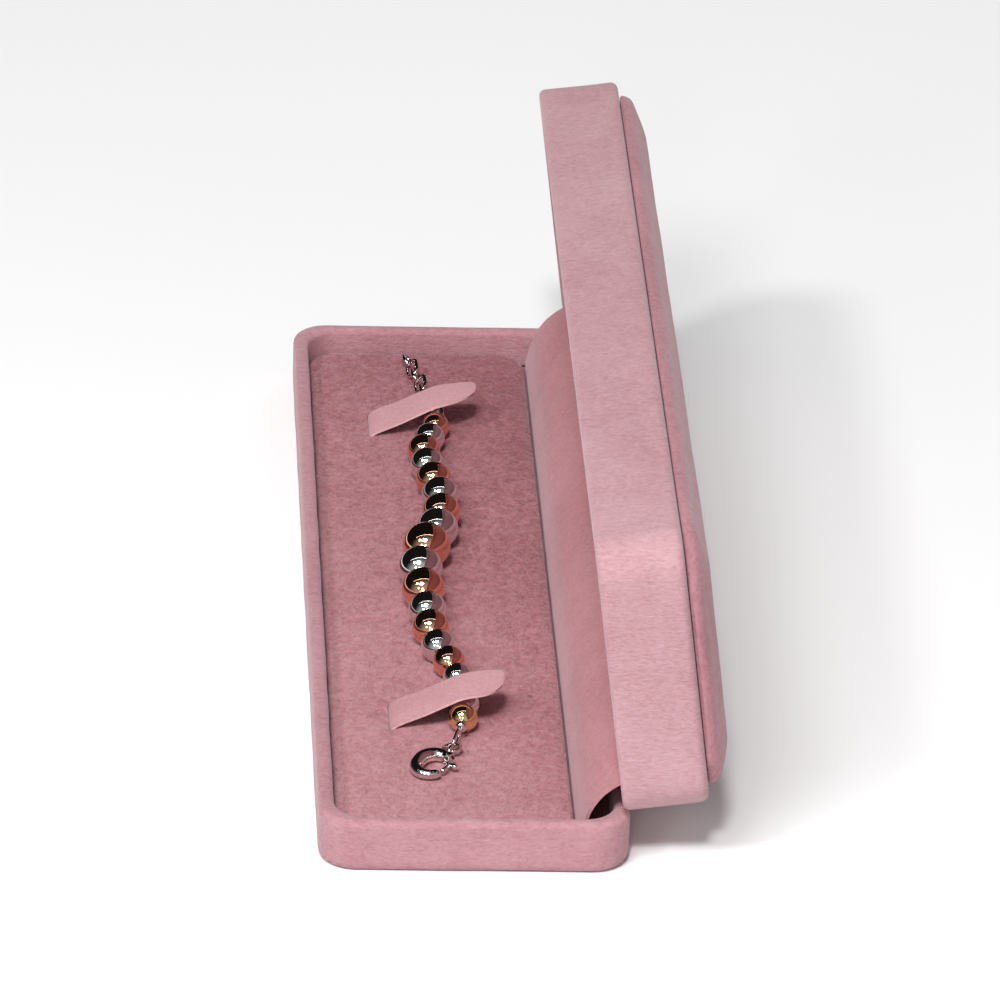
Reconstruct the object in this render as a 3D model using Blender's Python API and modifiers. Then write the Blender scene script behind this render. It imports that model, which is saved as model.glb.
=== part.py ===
"""Hinged presentation box for a bracelet, shown open, with the bracelet under its two straps.

The box lies along Y. The hinge side is +X, up is +Z, and the origin is the centre of the underside.
Lengths below are in millimetres. Lid parts are drawn shut and turned open by their parent empty.
"""

import math

import bmesh
import bpy
from mathutils import Matrix, Vector

MM = 0.001

# ---------------------------------------------------------------- driving dimensions, mm
BOX_L = 212.0
BOX_W = 57.0
BASE_H = 10.6  # parting line above the table
LID_D = 16.0  # lid depth, without the raised panel
PANEL_RISE = 4.1
PANEL_INSET = 1.4
PANEL_CORNER = 9.5
CORNER = 7.0  # plan radius of the outer corners
CORNER_STEPS = 5
GAP = 0.3
PARTING = 0.15  # half the gap between the two rims

SKIN = 0.65  # suede over the rigid shells
WALL = 2.9  # whole wall: suede, shell, suede
SHELL_WALL = 1.0
SHELL_FLOOR = 1.4
ROLL = 1.25  # radius of the suede over each rim
UNDER_ROLL = 2.0
LID_ROLL = 1.5
FLANGE = 5.0  # suede turned in under the base and on top of the lid

HINGE_INSET = 1.6  # axis in from the back of the base; the lid's back stands on it
LID_OPEN = 82.0  # degrees
LEAF_Y = 62.0  # hinge centres from the middle
LEAF_W = 16.0
KNUCKLE_R = 1.05
PIN_R = 0.45
HOLE_R = 0.75
LEAF_T = 0.4

PAD_TOP = 6.1
PAD_RIGHT = 18.6
PAD_SKIN = 0.65
PAD_CORNER = 6.0  # the pad and the lid's lining are rounder than the shells

STRAP_W = 10.0
STRAP_T = 0.7
STRAP_ROOT_X = -13.9
STRAP_FAR_Y = 67.3
STRAP_NEAR_Y = -57.2
SLIT_W = 1.4

FLAP_T = 0.8
FLAP_HALF_L = 101.6

BEAD_DIAMETERS = (
    5.5, 6.0, 6.5, 6.8, 7.1, 7.4, 7.6, 8.2, 9.3, 8.6, 8.3, 7.3, 7.2, 6.5, 6.2, 5.6, 5.3, 5.2, 5.5,
)
BEAD_GAP = 0.06
BEAD_BORE = 0.7
WIRE_R = 0.25
FIRST_BEAD_Y = 61.6
LINK_PITCH = 3.7
LINKS = 8

# derived
X0, X1 = -BOX_W / 2, BOX_W / 2
Y1 = BOX_L / 2
HINGE = Vector((X1 - HINGE_INSET, 0.0, BASE_H))
LID_X1 = HINGE.x
LID_TOP = BASE_H + LID_D


# ---------------------------------------------------------------- scene, collections, materials
for old in list(bpy.data.objects):
    bpy.data.objects.remove(old)

scene = bpy.context.scene
box_set = bpy.data.collections.new("bracelet_box")
cutter_set = bpy.data.collections.new("cutters")
scene.collection.children.link(box_set)
scene.collection.children.link(cutter_set)
cutter_set.hide_render = True


def material(name, colour, roughness, metallic=0.0):
    made = bpy.data.materials.new(name)
    made.use_nodes = True
    shader = made.node_tree.nodes["Principled BSDF"]
    shader.inputs["Base Color"].default_value = (*colour, 1.0)
    shader.inputs["Roughness"].default_value = roughness
    shader.inputs["Metallic"].default_value = metallic
    made.diffuse_color = (*colour, 1.0)
    return made


SUEDE_ROSE = (0.50, 0.22, 0.27)
LOOKS = {
    "suede": (SUEDE_ROSE, 0.95, 0.0),
    "suede_light": ((0.58, 0.28, 0.32), 0.95, 0.0),
    "shell": ((0.42, 0.19, 0.22), 0.6, 0.0),
    "board": ((0.45, 0.36, 0.26), 0.9, 0.0),
    "foam": ((0.82, 0.80, 0.72), 0.95, 0.0),
    "steel": ((0.55, 0.55, 0.56), 0.35, 1.0),
    "silver": ((0.90, 0.89, 0.87), 0.08, 1.0),
    "rose_gold": ((0.86, 0.50, 0.36), 0.08, 1.0),
}


# ---------------------------------------------------------------- pivots
def pivot(name, point, turn_y=0.0, turn_z=0.0):
    empty = bpy.data.objects.new(name, None)
    empty.empty_display_size = 0.01
    empty.location = Vector(point) * MM
    empty.rotation_euler = (0.0, math.radians(turn_y), math.radians(turn_z))
    box_set.objects.link(empty)
    return empty


lid_pivot = pivot("lid_pivot", HINGE, turn_y=LID_OPEN)


# ---------------------------------------------------------------- making objects
def place(bm, name, parent=None, origin=(0.0, 0.0, 0.0), helper=False, look=None):
    """Turns a bmesh in millimetres into a named object, with its mesh held about the given origin."""
    bmesh.ops.translate(bm, verts=bm.verts, vec=-Vector(origin))
    bmesh.ops.scale(bm, verts=bm.verts, vec=(MM, MM, MM))
    bmesh.ops.recalc_face_normals(bm, faces=bm.faces)
    data = bpy.data.meshes.new(name)
    bm.to_mesh(data)
    bm.free()
    obj = bpy.data.objects.new(name, data)
    if parent:
        obj.parent = parent
    else:
        obj.location = Vector(origin) * MM
    if helper:
        cutter_set.objects.link(obj)
        obj.hide_render = True
        obj.display_type = "WIRE"
    else:
        box_set.objects.link(obj)
        data.materials.append(material(name, *LOOKS[look]))
    return obj


def cut(obj, *cutters, operation="DIFFERENCE"):
    for cutter in cutters:
        step = obj.modifiers.new(f"{operation.lower()} {cutter.name}", "BOOLEAN")
        step.operation = operation
        step.solver = "EXACT"
        step.object = cutter


def bevel_edges(bm, edges, radius, steps):
    bmesh.ops.bevel(bm, geom=edges, offset=radius, segments=steps, profile=0.5, affect="EDGES")


def slab(low, high, corner=0.0, steps=CORNER_STEPS, top=0.0, bottom=0.0, edge_steps=2):
    """A block with rounded upright corners, and its top and bottom edges rolled over."""
    low, high = Vector(low), Vector(high)
    bm = bmesh.new()
    bmesh.ops.create_cube(bm, size=1.0)
    bmesh.ops.scale(bm, verts=bm.verts, vec=high - low)
    bmesh.ops.translate(bm, verts=bm.verts, vec=(high + low) / 2)
    if corner:
        upright = [e for e in bm.edges if abs(e.verts[0].co.z - e.verts[1].co.z) > 1e-6]
        bevel_edges(bm, upright, corner, steps)
    for radius, level in ((top, high.z), (bottom, low.z)):
        if radius:
            rim = [e for e in bm.edges if all(abs(v.co.z - level) < 1e-6 for v in e.verts)]
            bevel_edges(bm, rim, radius, edge_steps)
    return bm


def rounded_loop(x0, x1, y0, y1, radius, steps):
    """Points once round a rectangle with rounded corners, anticlockwise from above."""
    loop = []
    for cx, cy, start in (
        (x1 - radius, y1 - radius, 0),
        (x0 + radius, y1 - radius, 90),
        (x0 + radius, y0 + radius, 180),
        (x1 - radius, y0 + radius, 270),
    ):
        for step in range(steps + 1):
            turn = math.radians(start + 90 * step / steps)
            loop.append((cx + radius * math.cos(turn), cy + radius * math.sin(turn)))
    return loop


def arc(cx, cz, radius, start, end, steps):
    turns = [math.radians(start + (end - start) * i / steps) for i in range(steps + 1)]
    return [(cx + radius * math.cos(t), cz + radius * math.sin(t)) for t in turns]


def curve_points(data, points, cyclic):
    line = data.splines.new("POLY")
    line.points.add(len(points) - 1)
    for point, co in zip(line.points, points):
        point.co = (*(Vector(co) * MM), 1.0)
    line.use_cyclic_u = cyclic


def mesh_of_curve(obj):
    """The curve's own solid as a bmesh in millimetres. The curve goes."""
    bpy.context.view_layer.update()
    graph = bpy.context.evaluated_depsgraph_get()
    bm = bmesh.new()
    bm.from_mesh(bpy.data.meshes.new_from_object(obj.evaluated_get(graph)))
    bmesh.ops.scale(bm, verts=bm.verts, vec=(1 / MM,) * 3)
    bmesh.ops.remove_doubles(bm, verts=bm.verts, dist=0.002)
    bpy.data.objects.remove(obj)
    return bm


def sweep(path, profile):
    """A closed profile of (in from the path, up) points carried round a closed level path."""
    shape = bpy.data.curves.new("profile", "CURVE")
    shape.dimensions = "2D"
    curve_points(shape, [(-x, z, 0.0) for x, z in profile], True)
    section = bpy.data.objects.new("profile", shape)
    data = bpy.data.curves.new("path", "CURVE")
    data.dimensions = "3D"
    data.twist_mode = "Z_UP"
    data.bevel_mode = "OBJECT"
    data.bevel_object = section
    curve_points(data, [(x, y, 0.0) for x, y in path], True)
    rail = bpy.data.objects.new("path", data)
    cutter_set.objects.link(section)
    cutter_set.objects.link(rail)
    bm = mesh_of_curve(rail)
    bpy.data.objects.remove(section)
    return bm


def rod(points, radius, cyclic=False, sides=2):
    """A round rod along a line of points."""
    data = bpy.data.curves.new("rod", "CURVE")
    data.dimensions = "3D"
    data.bevel_depth = radius * MM
    data.bevel_resolution = sides - 1
    data.use_fill_caps = not cyclic
    curve_points(data, points, cyclic)
    rail = bpy.data.objects.new("rod", data)
    cutter_set.objects.link(rail)
    return mesh_of_curve(rail)


def turned(name, profile, steps, look, centre, axis, parent=None, shut=True):
    """A Screw about an axis. The profile is (radius, height) down the outer side, from the top."""
    data = bpy.data.meshes.new(name)
    ends = len(profile) if shut else len(profile) - 1
    data.from_pydata(
        [(r * MM, 0.0, h * MM) for r, h in profile],
        [(i, (i + 1) % len(profile)) for i in range(ends)],
        [],
    )
    obj = bpy.data.objects.new(name, data)
    obj.rotation_mode = "QUATERNION"
    obj.rotation_quaternion = Vector((0, 0, 1)).rotation_difference(Vector(axis))
    obj.location = Vector(centre) * MM
    obj.parent = parent
    box_set.objects.link(obj)
    data.materials.append(material(name, *LOOKS[look]))
    screw = obj.modifiers.new("turn", "SCREW")
    screw.steps = screw.render_steps = steps
    screw.use_merge_vertices = True
    screw.merge_threshold = 0.00001
    screw.use_smooth_shade = True
    return obj


def cylinder(radius, length, centre, steps=12, along="Y"):
    bm = bmesh.new()
    bmesh.ops.create_cone(
        bm, cap_ends=True, segments=steps, radius1=radius, radius2=radius, depth=length
    )
    if along == "Y":
        bmesh.ops.rotate(bm, verts=bm.verts, matrix=Matrix.Rotation(math.pi / 2, 3, "X"))
    bmesh.ops.translate(bm, verts=bm.verts, vec=centre)
    return bm


def bent_sheet(name, line, y0, y1, thickness, look, parent=None, origin=(0, 0, 0)):
    """A strip that runs along a line of (x, z) points and is y0 to y1 wide, thickened by Solidify."""
    bm = bmesh.new()
    rows = [[bm.verts.new((x, y, z)) for x, z in line] for y in (y0, y1)]
    for i in range(len(line) - 1):
        bm.faces.new((rows[0][i], rows[0][i + 1], rows[1][i + 1], rows[1][i]))
    obj = place(bm, name, parent=parent, origin=origin, look=look)
    thick = obj.modifiers.new("thickness", "SOLIDIFY")
    thick.thickness = thickness * MM
    thick.offset = 0.0
    thick.use_even_offset = True
    return obj


# ---------------------------------------------------------------- base
def wrap_profile(height, turn_in, under_roll, leg_end):
    """Suede over one shell: flange, outer side, rolled rim, and the leg down inside. Up is the rim."""
    inner = WALL - SKIN
    return (
        [(turn_in, 0.0)]
        + arc(under_roll, under_roll, under_roll, 270, 180, 4)
        + arc(ROLL, height - ROLL, ROLL, 180, 90, 3)
        + arc(WALL - ROLL, height - ROLL, ROLL, 90, 0, 3)
        + [(WALL, leg_end), (inner, leg_end)]
        + arc(WALL - ROLL, height - ROLL, ROLL - SKIN, 0, 90, 1)
        + arc(ROLL, height - ROLL, ROLL - SKIN, 90, 180, 1)
        + arc(under_roll, under_roll, under_roll - SKIN, 180, 270, 2)
        + [(turn_in, SKIN)]
    )


outer_loop = rounded_loop(X0, X1, -Y1, Y1, CORNER, CORNER_STEPS)
base_wrap = place(
    sweep(outer_loop, wrap_profile(BASE_H - PARTING, FLANGE, UNDER_ROLL, 3.0)),
    "base_wrap",
    look="suede",
)

shell_in = SKIN + GAP
shell_bottom = SKIN + GAP
base_shell = place(
    slab(
        (X0 + shell_in, -Y1 + shell_in, shell_bottom),
        (X1 - shell_in, Y1 - shell_in, BASE_H - PARTING - SKIN - 2 * GAP),
        corner=CORNER - shell_in,
        bottom=UNDER_ROLL - shell_in + 0.4,
    ),
    "base_shell",
    look="shell",
)
hollow_in = shell_in + SHELL_WALL
base_hollow = place(
    slab(
        (X0 + hollow_in, -Y1 + hollow_in, shell_bottom + SHELL_FLOOR),
        (X1 - hollow_in, Y1 - hollow_in, BASE_H + 2),
        corner=CORNER - hollow_in,
    ),
    "cut_base_hollow",
    helper=True,
)
cut(base_shell, base_hollow)

panel_in = FLANGE + GAP
place(
    slab(
        (X0 + panel_in, -Y1 + panel_in, 0.0), (X1 - panel_in, Y1 - panel_in, SKIN), corner=1.7, steps=2
    ),
    "base_bottom_panel",
    look="board",
)

# ---------------------------------------------------------------- display pad
pad_low = shell_bottom + SHELL_FLOOR + GAP
pad_in = WALL + GAP
pad_far = Y1 - pad_in
cover_low = (X0 + pad_in, -pad_far, pad_low)
pad_cover = place(
    slab(cover_low, (PAD_RIGHT, pad_far, PAD_TOP), corner=PAD_CORNER, steps=4, top=0.9),
    "pad_cover",
    look="suede",
)
core_in = PAD_SKIN + GAP
pad_room = place(
    slab(
        (X0 + pad_in + PAD_SKIN, -pad_far + PAD_SKIN, pad_low - 1),
        (PAD_RIGHT - PAD_SKIN, pad_far - PAD_SKIN, PAD_TOP - PAD_SKIN),
        corner=PAD_CORNER - PAD_SKIN,
        steps=3,
    ),
    "cut_pad_room",
    helper=True,
)
cut(pad_cover, pad_room)

core_corner = PAD_CORNER - core_in
core_x0, core_x1, core_y = X0 + pad_in + core_in, PAD_RIGHT - core_in, pad_far - core_in
board_top = pad_low + 1.0
place(
    slab((core_x0, -core_y, pad_low), (core_x1, core_y, board_top), corner=core_corner, steps=3),
    "pad_board",
    look="board",
)
foam_top = PAD_TOP - PAD_SKIN - GAP
pad_foam = place(
    slab((core_x0, -core_y, board_top + GAP), (core_x1, core_y, foam_top), corner=core_corner, steps=3),
    "pad_foam",
    look="foam",
)

# ---------------------------------------------------------------- straps
root_z = board_top + GAP + 0.1 + GAP
strap_line = [
    (STRAP_ROOT_X, root_z),
    (STRAP_ROOT_X, PAD_TOP - 0.1),
    (STRAP_ROOT_X + 1.0, PAD_TOP + 1.2),
    (-8.0, 9.1),
    (-4.2, 11.0),
    (-0.6, 12.7),
    (3.6, 13.5),
    (7.4, 13.7),
]


def strap(name, y, near_corner):
    root = (STRAP_ROOT_X, y, PAD_TOP)
    half = STRAP_W / 2
    tab = bent_sheet(name, strap_line, y - half, y + half, STRAP_T, "suede_light", origin=root)
    outline = slab((STRAP_ROOT_X - 2, y - half - 0.6, 0.0), (7.2, y + half - 0.1, 20.0))
    tip = [
        e for e in outline.edges
        if all(v.co.x > 7 for v in e.verts) and abs(e.verts[0].co.z - e.verts[1].co.z) > 1
    ]
    near = [e for e in tip if e.verts[0].co.y < y]
    bevel_edges(outline, near, near_corner, 5)
    trim = place(outline, f"trim_{name}", helper=True)
    cut(tab, trim, operation="INTERSECT")
    slit = place(
        slab(
            (STRAP_ROOT_X - SLIT_W / 2, y - half - 0.5, board_top + GAP + 0.1),
            (STRAP_ROOT_X + SLIT_W / 2, y + half + 0.5, PAD_TOP + 2),
        ),
        f"cut_slit_{name}",
        helper=True,
    )
    cut(pad_cover, slit)
    cut(pad_foam, slit)
    return tab


strap("strap_far", STRAP_FAR_Y, 4.6)
strap("strap_near", STRAP_NEAR_Y, 5.2)

# ---------------------------------------------------------------- lid
# Drawn shut: a wrap profile stands on its rim, so it is turned over to open downwards.
lid_loop = rounded_loop(X0, LID_X1, -Y1, Y1, CORNER, CORNER_STEPS)
lid_profile = [
    (x, LID_TOP - z) for x, z in wrap_profile(LID_D - PARTING, FLANGE, LID_ROLL, 3.9)
]
lid_wrap = place(
    sweep(lid_loop, lid_profile), "lid_wrap", parent=lid_pivot, origin=HINGE, look="suede_light"
)

shell_top = LID_TOP - SKIN - GAP
lid_shell = place(
    slab(
        (X0 + shell_in, -Y1 + shell_in, BASE_H + PARTING + SKIN + 2 * GAP),
        (LID_X1 - shell_in, Y1 - shell_in, shell_top),
        corner=CORNER - shell_in,
        top=LID_ROLL - shell_in + 0.5,
    ),
    "lid_shell",
    parent=lid_pivot,
    origin=HINGE,
    look="shell",
)
lid_hollow = place(
    slab(
        (X0 + hollow_in, -Y1 + hollow_in, BASE_H - 2),
        (LID_X1 - hollow_in, Y1 - hollow_in, shell_top - SHELL_FLOOR),
        corner=CORNER - hollow_in,
    ),
    "cut_lid_hollow",
    parent=lid_pivot,
    origin=HINGE,
    helper=True,
)
cut(lid_shell, lid_hollow)

# raised padded panel on top
top_in = PANEL_INSET
top_low, top_high = LID_TOP + PARTING, LID_TOP + PANEL_RISE
panel_cover = place(
    slab(
        (X0 + top_in, -Y1 + top_in, top_low),
        (LID_X1 - top_in, Y1 - top_in, top_high),
        corner=PANEL_CORNER,
        top=2.6,
        edge_steps=3,
    ),
    "lid_panel_cover",
    parent=lid_pivot,
    origin=HINGE,
    look="suede_light",
)
room_in = top_in + 1.1
panel_room = place(
    slab(
        (X0 + room_in, -Y1 + room_in, top_low - 1),
        (LID_X1 - room_in, Y1 - room_in, top_high - 0.7),
        corner=PANEL_CORNER - 1.1,
        top=1.8,
    ),
    "cut_panel_room",
    parent=lid_pivot,
    origin=HINGE,
    helper=True,
)
cut(panel_cover, panel_room)
foam_in = room_in + GAP
place(
    slab(
        (X0 + foam_in, -Y1 + foam_in, top_low + 0.15),
        (LID_X1 - foam_in, Y1 - foam_in, top_high - 0.7 - GAP),
        corner=PANEL_CORNER - 1.4,
        top=1.7,
    ),
    "lid_panel_foam",
    parent=lid_pivot,
    origin=HINGE,
    look="foam",
)

# lining inside the lid
lining_in = WALL + GAP
board_low = shell_top - SHELL_FLOOR - GAP - 1.0
place(
    slab(
        (X0 + lining_in, -Y1 + lining_in, board_low),
        (LID_X1 - lining_in, Y1 - lining_in, board_low + 1.0),
        corner=PAD_CORNER,
        steps=4,
    ),
    "lid_lining_board",
    parent=lid_pivot,
    origin=HINGE,
    look="board",
)
place(
    slab(
        (X0 + lining_in, -Y1 + lining_in, board_low - GAP - 3.0),
        (LID_X1 - lining_in, Y1 - lining_in, board_low - GAP),
        corner=PAD_CORNER,
        steps=4,
        bottom=1.2,
    ),
    "lid_cushion",
    parent=lid_pivot,
    origin=HINGE,
    look="suede_light",
)


# ---------------------------------------------------------------- hinges
def helper_box(name, low, high, parent=None, origin=(0, 0, 0)):
    return place(slab(low, high), name, parent=parent, origin=origin, helper=True)


def hinge(side, y):
    half, middle = LEAF_W / 2, LEAF_W / 6
    clear = KNUCKLE_R + GAP
    hx, hz = HINGE.x, HINGE.z
    base_in, lid_in = X1 - WALL - GAP, LID_X1 - WALL - GAP
    for who, parent, plate_x, up, reach in (
        ("base", None, base_in, -1, 6.3),
        ("lid", lid_pivot, lid_in, 1, 6.6),
    ):
        origin = HINGE if parent else (0, 0, 0)
        arm_a, arm_b = hz + up * PARTING, hz + up * (PARTING + LEAF_T)
        leaf = place(
            slab(
                (plate_x - LEAF_T, y - half, min(arm_a, hz + up * (PARTING + reach))),
                (plate_x, y + half, max(arm_a, hz + up * (PARTING + reach))),
            ),
            f"hinge_leaf_{who}_{side}",
            parent=parent,
            origin=origin,
            look="steel",
        )
        arm = helper_box(
            f"add_arm_{who}_{side}",
            (plate_x - LEAF_T / 2, y - half + 0.05, min(arm_a, arm_b)),
            (hx, y + half - 0.05, max(arm_a, arm_b)),
            parent,
            origin,
        )
        barrel = place(
            cylinder(KNUCKLE_R, LEAF_W - 0.2, (hx, y, hz)),
            f"add_barrel_{who}_{side}",
            parent=parent,
            origin=origin,
            helper=True,
        )
        hole = place(
            cylinder(HOLE_R, LEAF_W + 4, (hx, y, hz), steps=10),
            f"cut_pin_{who}_{side}",
            parent=parent,
            origin=origin,
            helper=True,
        )
        if who == "base":
            rooms = [(y - middle - GAP / 2, y + middle + GAP / 2)]
        else:
            rooms = [(y - half - 1, y - middle + GAP / 2), (y + middle - GAP / 2, y + half + 1)]
        cut(leaf, arm, barrel, operation="UNION")
        cut(leaf, hole)
        for number, (a, b) in enumerate(rooms):
            room = helper_box(
                f"cut_room_{who}_{side}_{number}",
                (hx - clear, a, hz - 2),
                (hx + 2, b, hz + 2),
                parent,
                origin,
            )
            cut(leaf, room)
    reach = half + GAP
    turned(
        f"hinge_pin_{side}",
        [
            (0.0, reach + 0.5), (0.85, reach + 0.5), (0.85, reach), (PIN_R, reach),
            (PIN_R, -reach), (0.85, -reach), (0.85, -reach - 0.5), (0.0, -reach - 0.5),
        ],
        10,
        "steel",
        (hx, y, hz),
        (0, 1, 0),
        shut=False,
    )
    notch_y = reach + 0.5 + GAP
    base_notch = helper_box(
        f"cut_notch_base_{side}",
        (base_in - 0.2, y - notch_y, hz - clear - 0.1),
        (X1 + 2, y + notch_y, hz + 2),
    )
    lid_notch = helper_box(
        f"cut_notch_lid_{side}",
        (lid_in - 0.2, y - notch_y, hz - 2),
        (LID_X1 + 2, y + notch_y, hz + clear + 0.1),
        lid_pivot,
        HINGE,
    )
    cut(base_wrap, base_notch)
    cut(base_shell, base_notch)
    cut(lid_wrap, lid_notch)
    cut(lid_shell, lid_notch)


hinge("far", LEAF_Y)
hinge("near", -LEAF_Y)

# ---------------------------------------------------------------- suede flap over the hinge
# Each half mirrors the other about the plane that halves the open angle.
flap_base = [(-7.5, -7.3), (-7.3, -5.0), (-6.2, -0.6), (-4.7, 2.3)]
half_turn = math.radians(180 - LID_OPEN / 2)


def mirrored(point):
    size, angle = math.hypot(*point), math.atan2(point[1], point[0])
    return (size * math.cos(2 * half_turn - angle), size * math.sin(2 * half_turn - angle))


flap_line = flap_base + [mirrored(point) for point in reversed(flap_base)]
bent_sheet(
    "hinge_flap",
    [(HINGE.x + x, HINGE.z + z) for x, z in flap_line],
    -FLAP_HALF_L,
    FLAP_HALF_L,
    FLAP_T,
    "suede",
)

# ---------------------------------------------------------------- bracelet
sway_line = [
    Vector((x, y, 0.0))
    for x, y in (
        (0.6, 68.0), (-1.0, 61.0), (-3.8, 49.5), (-2.6, 38.0), (-1.2, 26.0), (-2.6, 13.0), (-5.4, 3.0),
        (-6.5, -5.0), (-5.8, -18.0), (-5.0, -31.0), (-2.6, -39.5), (-0.6, -48.0), (0.2, -56.0),
        (-0.8, -64.0), (-2.0, -72.0),
    )
]


def sway(y):
    """The bracelet's sideways place at y, as a Catmull-Rom curve through the line above."""
    last = len(sway_line) - 3
    i = next((k for k in range(1, last) if sway_line[k + 1].y <= y), last)
    a, b, c, d = (sway_line[k].x for k in range(i - 1, i + 3))
    t = (y - sway_line[i].y) / (sway_line[i + 1].y - sway_line[i].y)
    t = min(max(t, 0.0), 1.0)
    return 0.5 * (
        2 * b + (c - a) * t + (2 * a - 5 * b + 4 * c - d) * t * t + (3 * b - a - 3 * c + d) * t ** 3
    )


def next_centre(centre, radius, new_radius):
    """Where the next bead sits on the pad, touching distance away along the line."""
    reach = radius + new_radius + BEAD_GAP
    y = centre.y
    while True:
        y -= 0.01
        spot = Vector((sway(y), y, PAD_TOP + new_radius + 0.15))
        if (spot - centre).length >= reach:
            return spot


radii = [d / 2 for d in BEAD_DIAMETERS]
centres = [Vector((sway(FIRST_BEAD_Y), FIRST_BEAD_Y, PAD_TOP + radii[0] + 0.15))]
for before, after in zip(radii, radii[1:]):
    centres.append(next_centre(centres[-1], before, after))

for index, (radius, centre) in enumerate(zip(radii, centres)):
    ahead = centres[min(index + 1, len(centres) - 1)]
    behind = centres[max(index - 1, 0)]
    along = (behind - ahead).normalized()
    start = math.degrees(math.asin(BEAD_BORE / radius))
    outside = arc(0, 0, radius, 90 - start, -90 + start, 6)
    turned(
        f"bead_{index + 1:02d}",
        outside,
        12,
        "rose_gold" if index % 2 == 0 else "silver",
        centre,
        along,
    )

end_far = centres[0] + (centres[0] - centres[1]).normalized() * (radii[0] + 1.0)
end_near = centres[-1] + (centres[-1] - centres[-2]).normalized() * (radii[-1] + 1.0)
place(
    rod([end_far] + centres + [end_near], WIRE_R, sides=2), "stringing_wire", look="steel"
)


def ring(name, centre, radius, wire, normal, stretch=0.0, look="silver", steps=12):
    """A round or stretched wire ring. Its long way lies along Y before it is turned to its normal."""
    loop = []
    for step in range(steps):
        turn = 2 * math.pi * (step + 0.5) / steps
        shift = math.copysign(stretch / 2, math.cos(turn))
        loop.append(Vector((radius * math.sin(turn), radius * math.cos(turn) + shift, 0.0)))
    bm = rod(loop, wire, cyclic=True, sides=2)
    turn = Vector((0, 0, 1)).rotation_difference(Vector(normal)).to_matrix()
    bmesh.ops.rotate(bm, verts=bm.verts, matrix=turn)
    bmesh.ops.translate(bm, verts=bm.verts, vec=centre)
    return place(bm, name, look=look)


def end_cap(name, centre, axis):
    """A small cup that hides the knot, with the wire ending inside it."""
    turned(
        name,
        [(0.5, 0.7), (1.0, 0.5), (1.15, 0.0), (1.0, -0.6), (0.5, -0.8)],
        10,
        "silver",
        centre,
        axis,
    )


away_far = (end_far - centres[0]).normalized()
away_near = (end_near - centres[-1]).normalized()
end_cap("end_cap_far", end_far, away_far)
end_cap("end_cap_near", end_near, away_near)

# extender chain, from the far end cap to the far wall
link_y = end_far.y + 3.65
chain_from, chain_to = Vector((end_far.x - 0.2, link_y, 0)), Vector((-6.3, 99.0, 0))
slant = (chain_to - chain_from).normalized()
for index in range(LINKS):
    centre = chain_from + slant * (index * LINK_PITCH)
    centre.z = PAD_TOP + 1.75
    roll = math.radians(45 if index % 2 else -45)
    sideways = Vector((slant.y, -slant.x, 0))
    normal = sideways * math.sin(roll) + Vector((0, 0, 1)) * math.cos(roll)
    ring(f"chain_link_{index + 1}", centre, 1.25, 0.4, normal, stretch=2.2)

# near end: loop, jump ring, lobster clasp
hang = Vector((-0.318, -0.948, 0.0))  # the way the clasp end lies off the last bead
loop_at, jump_at = end_near + hang * 3.25, end_near + hang * 6.0
loop_at.z, jump_at.z = PAD_TOP + 2.05, PAD_TOP + 1.5
ring("end_loop", loop_at, 1.1, 0.3, (-hang.y, hang.x, 0.0), stretch=2.0)
ring("jump_ring", jump_at, 1.6, 0.38, (-0.1, 0.1, 1.0))

CLASP_TURN = 24.0
CLASP_SIZE = 1.12
clasp_at = Vector((jump_at.x - 3.71, jump_at.y - 6.09, PAD_TOP + 1.5))


def on_clasp(points):
    turn = Matrix.Rotation(-math.radians(CLASP_TURN), 3, "Z")
    return [clasp_at + turn @ Vector(point) * CLASP_SIZE for point in points]


# The hook runs from the pivot over the far side and round the nose. The tail ring is joined on.
hook = [
    (1.9, 2.3, 0), (0.6, 3.3, 0), (-1.2, 2.9, 0), (-2.3, 1.4, 0), (-2.5, -0.6, 0), (-2.1, -2.4, 0),
    (-0.9, -3.7, 0), (0.7, -3.9, 0), (1.9, -3.1, 0),
]
clasp_body = place(rod(on_clasp(hook), 0.9 * CLASP_SIZE, sides=3), "clasp_body", look="silver")
tail = [
    (1.2, 4.9 + math.cos(t), math.sin(t))
    for t in (2 * math.pi * i / 10 for i in range(10))
]
cut(
    clasp_body,
    place(rod(on_clasp(tail), 0.38, cyclic=True), "add_clasp_tail", helper=True),
    operation="UNION",
)
pin_at = on_clasp([(1.9, 2.3, 0)])[0]
lever_room = place(
    cylinder(1.25 * CLASP_SIZE, 1.3 * CLASP_SIZE, pin_at, steps=12, along="Z"), "cut_lever_room", helper=True
)
pin_hole = place(cylinder(0.5, 4, pin_at, steps=8, along="Z"), "cut_clasp_pin", helper=True)
cut(clasp_body, lever_room, pin_hole)
turned(
    "clasp_pin",
    [(0.0, 1.35), (0.6, 1.35), (0.6, 1.18), (0.28, 1.18), (0.28, -1.0), (0.0, -1.0)],
    8,
    "silver",
    pin_at,
    (0, 0, 1),
    shut=False,
)
lever = [(1.9, 2.3, 0), (2.35, 0.9, 0), (2.5, -0.6, 0), (2.3, -1.75, 0)]
clasp_lever = place(
    rod(on_clasp(lever), 0.42 * CLASP_SIZE, sides=2), "clasp_lever", origin=pin_at, look="silver"
)
eye = place(
    cylinder(0.95 * CLASP_SIZE, 0.7 * CLASP_SIZE, pin_at, steps=10, along="Z"), "add_lever_eye", helper=True
)
nub = place(rod(on_clasp([(2.2, 0.9, 0), (3.7, 0.4, 0)]), 0.5 * CLASP_SIZE), "add_lever_nub", helper=True)
cut(clasp_lever, eye, nub, operation="UNION")
cut(clasp_lever, pin_hole)
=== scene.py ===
"""Looks for the bracelet box: suede coverings, padded parts, straps, and the polished bracelet.

Lengths are in millimetres until a mesh is made. Lid pieces are drawn shut and turned open about the hinge.
"""

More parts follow.
